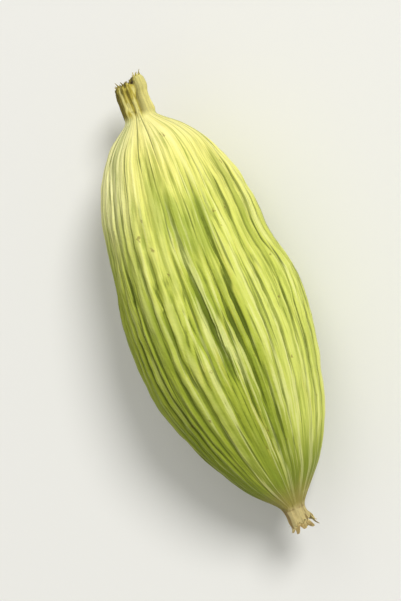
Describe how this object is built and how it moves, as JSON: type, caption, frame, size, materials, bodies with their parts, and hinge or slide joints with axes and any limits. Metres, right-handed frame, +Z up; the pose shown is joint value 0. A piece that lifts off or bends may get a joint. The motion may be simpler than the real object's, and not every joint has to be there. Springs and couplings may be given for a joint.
{
  "type": "green cardamom pod",
  "caption": "Dried green cardamom pod: a closed three-sided ribbed husk with a broken stalk stub at one end and a withered flower collar at the other, lying on its belly.",
  "frame": {"origin": "on the surface that the pod lies on, under the middle of its bounding box", "axes": "+X along the pod towards its stalk, +Z up from the belly it rests on to the blunt edge on top"},
  "size_m": [0.023, 0.009, 0.0086],
  "materials": {
    "husk": "satin"
  },
  "bodies": {
    "root": {"cardamom_pod": "husk"}
  },
  "joints": []
}
